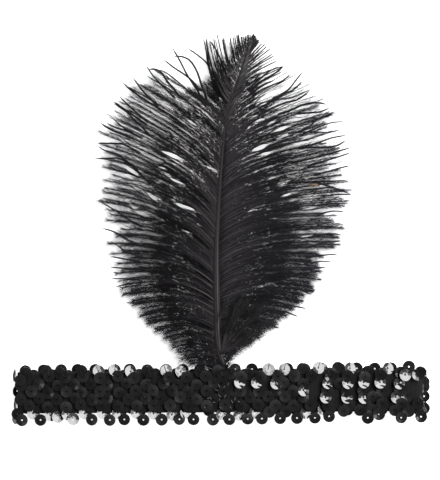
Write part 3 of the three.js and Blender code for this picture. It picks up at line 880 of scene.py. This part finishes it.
strayStrands = {  # single barbs that leave the vane, from inside it to the tip: x and y in turn, mm
    "left": (
        (7.6, 69.3, 9.7, 77.7, 12.8, 89.1, 15.4, 100.1), (8.6, 69.3, 10.7, 77.7, 13.8, 89.1, 16.4, 100.6),
        (9.7, 69.3, 11.7, 77.7, 14.9, 89.1, 17.0, 99.0), (8.1, 73.5, 11.2, 85.0, 13.3, 94.4, 14.9, 99.6),
        (-7.0, 67.2, -10.2, 76.1, -12.3, 82.5, -15.9, 88.3, -20.2, 90.5, -23.9, 90.7),
        (-7.6, 64.1, -11.7, 71.9, -17.5, 80.8, -21.3, 88.3, -25.0, 94.7),
        (-10.7, 72.4, -14.3, 77.1, -18.6, 80.8, -25.0, 85.1, -29.3, 88.6),
        (-3.4, 72.4, -5.3, 82.5, -7.5, 87.3, -12.3, 91.5, -17.0, 94.7),
        (-0.8, 67.2, -3.2, 74.0, -5.3, 80.8, -6.9, 87.8, -7.7, 94.7, -9.0, 99.5),
        (-0.8, 69.3, -3.9, 77.7, -6.1, 86.7, -6.9, 95.8, -7.7, 100.3),
        (6.0, 72.4, 3.2, 79.7, 1.1, 86.2, -2.1, 93.6, -5.3, 98.4),
        (-23.7, 68.3, -31.4, 76.0, -35.7, 80.8, -38.9, 85.6),
        (-21.1, 68.8, -25.0, 74.0, -28.2, 77.7, -31.4, 82.5, -35.1, 84.0, -37.2, 83.8),
        (-8.1, 65.1, -14.9, 70.7, -17.6, 72.9, -23.4, 78.2, -29.3, 82.5, -32.6, 83.4),
        (-36.8, 65.7, -42.6, 69.7, -47.9, 73.4, -51.1, 76.6),
        (-38.9, 54.7, -45.8, 59.6, -51.1, 63.3, -55.4, 66.5),
        (-36.8, 49.0, -44.6, 56.8, -49.8, 61.7, -54.5, 64.9),
        (-32.6, 64.1, -37.8, 69.2, -42.0, 74.0, -45.8, 79.2),
        (-29.0, 61.0, -35.7, 65.4, -41.5, 69.2, -47.9, 74.0),
        (-37.8, 55.7, -43.1, 60.1, -47.9, 64.4, -52.7, 69.2),
        (-41.0, 47.4, -47.4, 51.1, -51.6, 53.7, -56.4, 57.9),
        (-44.6, 46.9, -53.8, 50.5, -58.5, 52.6, -62.8, 55.6),
        (-42.0, 47.9, -49.5, 51.6, -54.8, 53.1, -59.6, 55.6),
        (-42.0, 39.6, -46.3, 42.0, -51.6, 44.6, -58.5, 44.9, -64.4, 45.2),
        (-43.0, 30.7, -48.4, 35.1, -54.8, 39.3, -60.2, 40.9, -63.9, 43.1),
        (-36.8, 23.4, -40.4, 27.1, -47.9, 34.0, -53.2, 37.0, -60.2, 37.0, -65.5, 37.0),
        (-41.0, 1.0, -47.9, 4.8, -55.9, 10.1, -63.4, 14.5),
        (-42.0, -8.9, -49.5, -5.3, -55.9, -1.5, -61.8, 0.3),
        (-39.4, -15.7, -46.8, -12.8, -52.2, -10.1, -57.5, -6.3), (-42.0, -17.3, -49.5, -15.9, -57.0, -14.6),
        (-42.0, -21.5, -49.5, -20.7, -57.5, -20.2), (-42.0, -26.7, -49.5, -26.1, -57.0, -26.1),
        (-41.0, -28.2, -47.9, -28.7, -54.8, -30.3), (-38.9, -38.2, -44.2, -38.8, -49.5, -38.8),
        (-28.4, -41.3, -35.7, -43.9, -42.0, -46.0),
    ),
    "right": (
        (14.3, 73.0, 18.1, 76.5, 24.5, 81.8, 28.7, 84.5, 33.0, 85.3),
        (15.4, 71.4, 20.8, 77.0, 28.7, 81.8, 33.0, 85.3), (14.3, 69.3, 19.7, 73.8, 23.4, 76.2, 27.7, 77.8),
        (16.4, 69.8, 23.9, 74.1, 32.0, 77.5, 36.8, 81.3),
        (19.6, 63.0, 26.6, 66.8, 32.0, 70.6, 36.3, 73.8, 40.0, 78.6, 43.2, 82.6),
        (26.9, 67.7, 34.1, 71.1, 38.4, 73.2, 42.9, 77.5),
        (20.6, 65.7, 28.7, 67.9, 35.2, 68.4, 41.6, 70.6, 47.5, 73.5),
        (19.6, 59.4, 26.6, 63.1, 34.1, 66.3, 40.5, 67.9, 46.4, 72.2),
        (30.0, 59.9, 37.3, 62.5, 44.3, 65.5, 50.7, 66.3, 55.5, 65.5),
        (40.4, 60.4, 48.0, 61.0, 52.3, 61.5, 56.9, 63.4),
        (41.5, 51.1, 47.0, 54.0, 50.2, 57.2, 55.0, 59.3, 59.8, 61.7),
        (41.5, 49.0, 48.0, 51.9, 52.8, 54.0, 58.7, 55.9, 64.6, 56.4),
        (35.2, 50.0, 42.7, 50.8, 50.7, 50.8, 57.6, 50.8, 62.8, 52.1),
        (46.7, 43.7, 53.4, 46.0, 58.7, 47.9, 65.7, 49.2),
        (40.4, 42.2, 48.0, 42.8, 55.0, 42.8, 61.4, 43.9, 65.7, 46.5),
        (37.3, 34.4, 45.3, 36.4, 53.4, 38.5, 61.4, 40.7, 68.4, 42.8),
        (45.6, 32.8, 53.4, 35.3, 60.4, 37.4, 68.4, 40.1), (48.8, 28.1, 56.1, 30.0, 63.0, 32.1, 67.8, 33.2),
        (35.2, 23.9, 42.7, 24.5, 50.7, 24.8, 58.7, 25.1, 66.0, 25.6),
        (46.2, 22.6, 50.5, 23.9, 56.5, 22.6, 63.0, 20.3, 67.6, 18.7),
        (45.0, 20.8, 50.0, 20.6, 55.0, 21.6, 60.5, 21.4), (53.4, 17.1, 61.4, 18.1, 68.9, 18.1),
        (50.9, 12.4, 58.7, 13.3, 66.5, 13.3), (50.9, 7.7, 58.7, 9.3, 64.6, 9.1),
        (47.7, -4.2, 56.1, -2.6, 63.0, -2.9), (47.7, -8.9, 56.1, -6.9, 63.5, -6.3),
        (44.6, -15.2, 53.4, -13.8, 61.4, -13.3), (43.6, -18.3, 52.3, -17.0, 58.2, -17.3),
        (41.5, -21.5, 49.8, -20.4, 55.5, -20.4), (38.3, -24.6, 45.6, -23.0, 51.8, -22.3),
        (36.3, -30.3, 42.7, -32.2, 47.2, -34.3), (33.1, -39.7, 39.5, -40.7, 44.8, -41.8),
        (29.0, -42.9, 35.2, -43.9, 40.5, -46.0), (18.5, -48.6, 24.5, -50.5, 30.9, -52.1),
    ),
}


def openPartings(paths):
    for x0, y0, x1, y1, width in partings:
        start, end = np.array((x0, y0)) * mm, np.array((x1, y1)) * mm
        half = np.linalg.norm(end - start) / 2
        along = (end - start) / (2 * half)
        away = paths[..., :2] - (start + end) / 2
        if not (np.abs(away @ along) < half).any():
            continue
        u = away @ along / half
        v = away @ np.array((-along[1], along[0]))
        k = np.argmin(abs(u), axis=1)[:, None]
        side = np.sign(np.take_along_axis(v, k, 1) + 1e-9)
        kept = np.maximum(side * v, 0)
        opened = width * mm * parting["open"] * np.clip(1 - u * u, 0, 1)
        push = side * (kept + opened * np.exp(-kept / (parting["push"] * width * mm))) - v
        push = push * smooth(1.0, parting["fade"], abs(u))
        paths[..., 0] -= push * along[1]
        paths[..., 1] += push * along[0]
    return paths


def barbPaths(vane):
    shape, habit, side = vane["shape"], vane["habit"], vane["side"]
    first, last = shape["along"][0], shape["along"][-1]
    count = round((last - first) * plume["length"] / barbs["pitch"])
    along = np.linspace(first, last, count)
    stray = barbs["pitchStray"]
    along = along + chance.uniform(-stray, stray, count) * barbs["pitch"] / plume["length"]

    clump = np.zeros(count, int)
    leader = np.zeros(count, bool)
    start = 0
    while start < count:
        size = max(1, round(chance.normal(sample(habit, "clump", along[start]), barbs["clumpSpread"])))
        clump[start:start + size] = clump[start - 1] + 1 if start else 0
        leader[min(start + size // 2, count - 1)] = True
        start += size
    clumps = clump[-1] + 1
    clumpLength = 1 + chance.normal(0, barbs["clumpStray"], clumps)
    clumpArch = chance.uniform(*barbs["arch"], clumps)

    width = shaftWidth(along)
    root = shaftCentre(along) + shaftSide(along) * (side * width * barbs["rootSpot"])[:, None]
    root[:, 2] += width * plume["flatness"] * chance.uniform(*barbs["rootRise"], count)
    tip = plumePoint(
        sample(shape, "tip", along), sample(shape, "across", along),
        barbs["ground"] + np.maximum(sample(shape, "lift", along), 0) * plume["seat"],
    )
    run = tip - root
    length = np.linalg.norm(run, axis=1)
    bow = unit(np.stack([-run[:, 1], run[:, 0], 0 * length], -1))
    spreading = abs(run[:, 0]).mean() > 0.5 * run[:, 1].mean()
    bow = bow * np.sign(bow[:, 1:2] + 1e-9) if spreading else bow * side
    lead, lag = (chance.uniform(0, barbs[share], count) for share in ("lead", "lag"))
    reach = np.where(leader, 1 + lead, 1 - lag) * clumpLength[clump]
    tip = root + run * reach[:, None] + bow * (chance.normal(0, barbs["stray"], count) * length)[:, None]
    tip[:, 2] = np.maximum(tip[:, 2], barbs["ground"]) + chance.uniform(0, barbs["tipRise"], count) * mm
    bowing = sample(habit, "bow", along) + chance.normal(0, barbs["bowStray"], count)
    bend = sample(habit, "bend", along)[:, None]
    arch = clumpArch[clump] * length
    middle = root * (1 - bend) + tip * bend + bow * (2 * bowing * length)[:, None]
    middle = middle + up * (2 * arch)[:, None]

    t = np.linspace(0, 1, barbs["steps"])
    t = (t * (1.5 - 0.5 * t))[None, :, None]  # closer steps towards the tip
    even = root[:, None] * (1 - t) ** 2 + middle[:, None] * 2 * t * (1 - t) + tip[:, None] * t * t
    curl = sample(habit, "curl", along) * length * chance.uniform(*barbs["curlStray"], count)
    even = even + bow[:, None] * curl[:, None, None] * t ** 4
    centre = np.stack([even[clump == k].mean(0) for k in range(clumps)])[clump]
    gather = sample(habit, "gather", along) * chance.uniform(*barbs["gatherStray"], clumps)[clump]
    gather = np.clip(gather, 0, barbs["gatherMost"])
    loose, looseGather = barbs["loose"]
    gather = gather * np.where((chance.uniform(0, 1, count) < loose) & ~leader, looseGather, 1)
    start = sample(habit, "start", along)[:, None, None]
    paths = even + (centre - even) * gather[:, None, None] * smooth(start, start + barbs["gatherRun"], t)
    paths = paths + (even - paths) * (0, 0, barbs["keptHeight"])
    paths[:, :, 2] = np.maximum(paths[:, :, 2], barbs["lowest"])
    return {"even": even, "paths": paths, "length": length * reach, "along": along, "leader": leader}


def barbFinish(name, dark, light, roughness):
    black = Finish(name)
    # tone: random, and on the barbs it also carries the painted highlight at their roots
    shade = black.blend(black.mark("tone"), dark, light)
    shade = black.blend(black.mark("haze"), shade, colour(0.024, 0.022, 0.034))
    grain = black.noise(0.4 * mm, 3)
    return black.surface(
        grain, 0.03 * mm, Base_Color=shade, Roughness=roughness + 0.15 * grain, Specular_IOR_Level=0.3,
    )


barbFinishes = {
    # the blackBarb light colour also carries the painted highlight at the barbs' roots
    "barb": barbFinish("blackBarb", colour(0.006, 0.0055, 0.0065), colour(0.105, 0.097, 0.102), 0.5),
    "fluff": barbFinish("blackBarbule", colour(0.007, 0.006, 0.008), colour(0.030, 0.027, 0.033), 0.6),
}


def barbuleField(habit, grown, zone):
    place = barbules[zone]
    low, high = place["share"]
    last = barbs["steps"] - 1
    even = grown["even"]
    k = round((low + high) / 2 * last)
    spacing = np.cross(np.gradient(even[:, k], axis=0), unit(even[:, k + 1] - even[:, k - 1]))
    spacing = np.minimum(np.linalg.norm(spacing, axis=1), barbules["widest"] * barbs["pitch"])
    area = spacing * grown["length"] * (high - low)
    hidden = place["width"] * place["length"] * barbules["hides"]
    counts = np.round(sample(habit, zone, grown["along"]) * area / hidden)
    barb = np.repeat(np.arange(len(counts)), np.maximum(counts, 0).astype(int))
    count = len(barb)
    t = low + (high - low) * chance.uniform(0, 1, count) ** place["crowd"]
    shift = (chance.uniform(-1, 1, len(counts)) * barbules["uneven"])[barb]
    t = t + shift * smooth(0.1, 0.4, t) * smooth(0.94, 0.6, t)
    k = np.clip((t * last).astype(int), 0, last - 1)
    share = (t * last - k)[:, None]
    gathered = chance.uniform(*barbules["gathered"], count)[:, None]
    before = even[barb, k] + (grown["paths"][barb, k] - even[barb, k]) * gathered
    after = even[barb, k + 1] + (grown["paths"][barb, k + 1] - even[barb, k + 1]) * gathered
    root = before + (after - before) * share
    root[:, 2] = root[:, 2] - barbules["hang"] * smooth(0.45, 0.2, t)
    tangent = unit(after - before)
    level = unit(np.stack([-tangent[:, 1], tangent[:, 0], 0 * t], -1))
    spread = sample(habit, "spread", grown["along"])[barb]
    angle = np.radians(chance.normal(*barbules["angle"], count) * spread) * chance.choice((-1, 1), count)
    tilt = np.radians(chance.normal(0, barbules["tilt"], count))
    under = t < barbules["under"]
    out = level * np.cos(tilt)[:, None] + up * np.where(under, -abs(np.sin(tilt)), np.sin(tilt))[:, None]
    direction = tangent * np.cos(angle)[:, None] + out * np.sin(angle)[:, None]
    direction[:, 2] = np.where(under, np.minimum(direction[:, 2], tangent[:, 2]), direction[:, 2])
    length = place["length"] * (1 - 0.5 * smooth(0.75, 1.0, t))  # shorter at the tip
    length = length * chance.uniform(*barbules["lengthStray"], count)
    spines = np.stack([root, root + direction * length[:, None]], 1)
    spines[:, :, 2] = np.maximum(spines[:, :, 2], barbules["lowest"])
    widths = place["width"] * chance.uniform(*barbules["widthStray"], count)
    widths = np.repeat(widths[:, None], 2, axis=1)
    tone = np.clip(0.5 * (barb * 0.618 % 1) + 0.5 * chance.uniform(0, 1, count), 0, 1) ** 1.5
    points, quads, triangles = strands(openPartings(spines), widths, 3)
    return points, quads, triangles, np.repeat(tone, 4), np.repeat(smooth(0.5, 0.95, t), 4)


def joined(parts):  # mesh parts, each of points, quads, triangles and the two marks
    offset = np.cumsum([0] + [len(part[0]) for part in parts])
    points, tone, haze = (np.concatenate([part[column] for part in parts]) for column in (0, 3, 4))
    quads, triangles = (
        np.concatenate([part[column] + start for part, start in zip(parts, offset)]) for column in (1, 2)
    )
    return points, quads, triangles, {"tone": tone, "haze": haze}


def vanePieces(name, vane):
    grown = barbPaths(vane)
    steps = barbs["steps"]
    t = np.linspace(0, 1, steps)[None]
    widths = barbs["tipWidth"] + (barbs["rootWidth"] - barbs["tipWidth"]) * (1 - t)
    widths = widths * np.where(grown["leader"], barbs["leaderWidth"], 1)[:, None] * vane.get("thick", 1)
    points, quads, triangles = strands(openPartings(grown["paths"].copy()), widths, 3)
    ownTone = (np.arange(len(widths)) * 0.618 % 1)[:, None]
    # painted highlight: barbs are lighter near the shaft, standing in for the sheen on their bare roots;
    # ownTone differs at random from barb to barb
    paintedRootHighlight = (0.35 + 0.5 * ownTone) * smooth(0.0, 0.14, grown["along"])[:, None]
    tone = 0.15 * ownTone ** 2.5 + paintedRootHighlight * smooth(0.42, 0.1, t)
    tone = np.concatenate([np.repeat(tone[:, :-1], 3, axis=1), tone[:, -1:]], axis=1).ravel()
    node = "vane_left" if vane["side"] > 0 else "vane_right"
    mesh = meshOf(name + "Barbs", points, quads, triangles, {"tone": tone})
    finishPiece(mesh, barbFinishes["barb"], "barbs", node)
    for zone in ("near", "outer"):
        if any(vane["habit"][zone]):
            parts = joined([barbuleField(vane["habit"], grown, zone)])
            mesh = meshOf(name + "Fluff" + zone.capitalize(), *parts)
            finishPiece(mesh, barbFinishes["fluff"], "barbs", node)


for name, vane in vanes.items():
    vanePieces(name, vane)

stray = {
    "steps": 12,
    "heights": (4 * mm, 2 * mm),
    "widths": (1.15 * mm, 0.75 * mm),
    "widthStray": (0.75, 1.15),
    "pointed": 0.7,
    "tone": 0.12,
}


def strayPieces():
    first, last = stray["heights"]
    t = np.linspace(0, 1, stray["steps"])
    for name, charted in strayStrands.items():
        paths = []
        for row in charted:
            x, y = pairs(row).T
            table = {"along": np.linspace(0, 1, len(x)), "x": x, "y": y}
            x, y = (sample(table, column, t) * mm for column in "xy")
            paths.append(np.stack([x, y, first + (last - first) * t], -1))
        paths = np.array(paths)
        paths[:, -1] += (paths[:, -1] - paths[:, -2]) * stray["pointed"]
        widths = np.linspace(*stray["widths"], stray["steps"])
        widths = widths * chance.uniform(*stray["widthStray"], (len(paths), 1))
        finish = barbFinishes["barb"]
        strandPiece(name + "Strands", paths, widths, 4, finish, "barbs", "vane_" + name, tone=stray["tone"])


strayPieces()


fleck = {  # a scrap of pale sheath caught in the right vane, mm
    "path": ((45.8, 22.3, 5.6), (48.0, 23.2, 5.9), (50.3, 23.2, 5.8), (52.6, 21.4, 5.2)),
    "widths": (0.7, 1.3, 1.1, 0.4),
}


def fleckPiece():
    path, widths = (np.array([fleck[part]]) * mm for part in ("path", "widths"))
    finish = fibreFinish("paleSheath", 0.5 * mm, (0.09, 0.055, 0.035), (0.36, 0.25, 0.16), 0.7, (0.4, 1, 1))
    strandPiece("sheathFleck", path, widths, 5, finish, "barbs", "vane_right")


fleckPiece()


# Plume: down at its foot

down = {
    "root": (0.050, 0.012),
    "rootStray": 0.5,  # mm
    "tips": {
        "along": (0.0, 0.2, 0.4, 0.6, 0.8, 1.0),
        "tip": (0.155, 0.218, 0.235, 0.200, 0.144, 0.090),
        "across": (0.091, 0.154, 0.240, 0.390, 0.510, 0.340),
    },
    "count": 34,
    "over": 1.4 * mm,  # over the shaft's seat
    "rise": 4 * mm,
    "riseStray": (0.1, 0.9),
    "reach": (0.75, 1.03),
    "swing": (0.06, 0.08),  # of a strand's length, and its spread
    "width": 0.26 * mm,
    "tones": (0.6, 0.3),  # of the strands, and of their barbules
    "cover": {"along": (0, 0.5, 1), "near": (1.2,) * 3, "outer": (0.8,) * 3, "spread": (1,) * 3},
}


def downPiece():
    count = down["count"]
    fan = np.linspace(0, 1, count)
    height = plume["seat"] + down["over"]
    root = plumePoint(*down["root"], height) + chance.normal(0, down["rootStray"], (count, 3)) * mm
    tip = plumePoint(
        sample(down["tips"], "tip", fan), sample(down["tips"], "across", fan),
        height + down["rise"] * chance.uniform(*down["riseStray"], count),
    )
    run = (tip - root) * chance.uniform(*down["reach"], (count, 1))
    length = np.linalg.norm(run, axis=1)
    bow = unit(np.stack([-run[:, 1], run[:, 0], 0 * length], -1))
    t = np.linspace(0, 1, barbs["steps"])[None, :, None]
    swing = chance.normal(*down["swing"], count) * length
    paths = root[:, None] + run[:, None] * t + bow[:, None] * (swing[:, None, None] * 4 * t * (1 - t))
    grown = {"even": paths, "paths": paths, "length": length, "along": np.full(count, 0.1)}
    widths = down["width"] * (1 - 0.5 * t[..., 0]) * np.ones((count, 1))
    plain = np.zeros(count * ((barbs["steps"] - 1) * 3 + 1))
    strandTone, barbuleTone = down["tones"]
    parts = [(*strands(paths, widths, 3), plain + strandTone, plain)]
    parts += [barbuleField(down["cover"], grown, zone) for zone in ("near", "outer")]
    parts[1:] = [(*part[:3], part[3] * barbuleTone, part[4] * 0) for part in parts[1:]]
    finishPiece(meshOf("footDown", *joined(parts)), barbFinishes["barb"], "down", "down_tuft")


downPiece()
